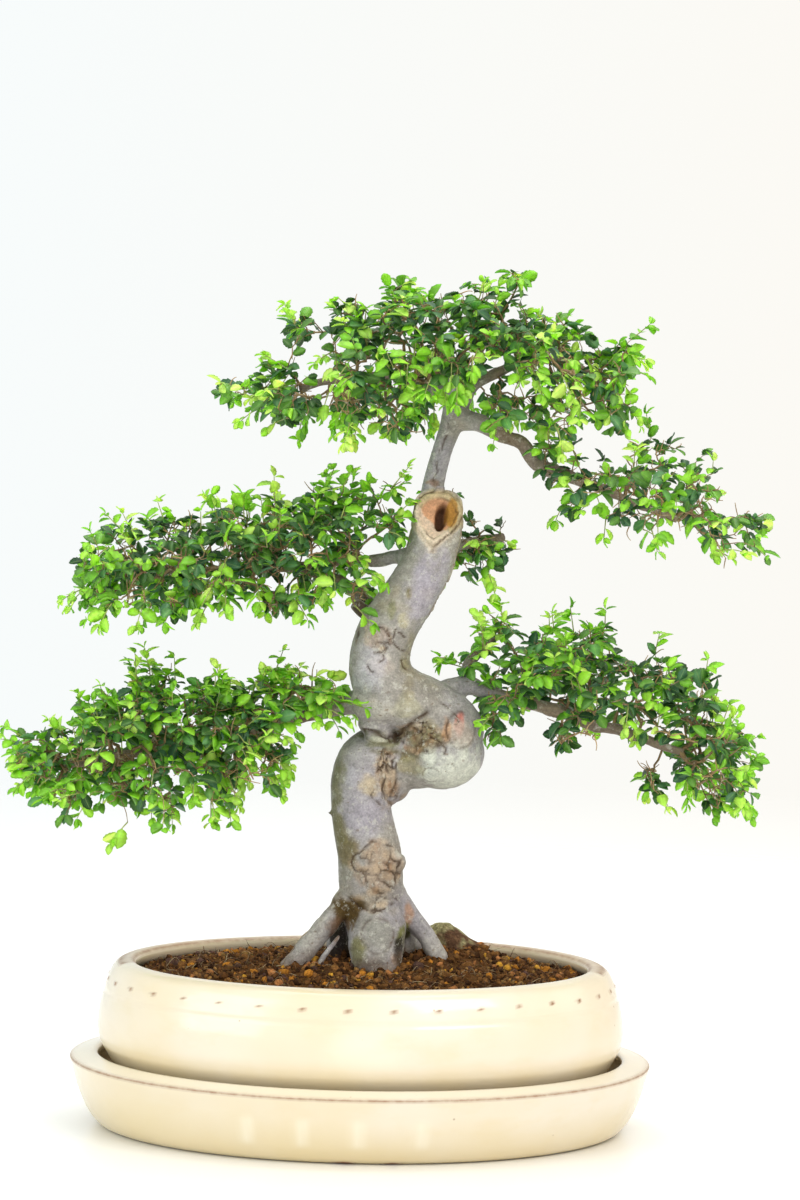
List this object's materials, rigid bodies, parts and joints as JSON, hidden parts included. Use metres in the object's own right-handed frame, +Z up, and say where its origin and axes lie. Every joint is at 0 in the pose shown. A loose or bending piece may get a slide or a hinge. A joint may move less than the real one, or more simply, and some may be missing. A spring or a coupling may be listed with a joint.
{
  "type": "bonsai tree in a pot",
  "caption": "Small-leaved elm bonsai with an S-curved trunk and tiered leaf pads, in an oval glazed pot standing in its drip tray.",
  "frame": {"origin": "the middle of the drip tray's flat underside", "axes": "+Z up, +X to the viewer's right along the ovals' long axis, -Y to the front"},
  "size_m": [0.5319, 0.318, 0.5943],
  "materials": {
    "glaze": "gloss",
    "screen": "matte",
    "soil": "matte",
    "stone": "matte",
    "bark": "matte",
    "leaf": "satin"
  },
  "bodies": {
    "root": {"drip_tray": "glaze", "pot": "glaze", "drain_screen_left": "screen", "drain_screen_right": "screen", "soil": "soil", "mossy_stone": "stone", "trunk_and_limbs": "bark", "leaves_apex": "leaf", "leaves_upper_right": "leaf", "leaves_middle_left": "leaf", "leaves_middle_back": "leaf", "leaves_lower_left": "leaf", "leaves_lower_right": "leaf"}
  },
  "joints": []
}
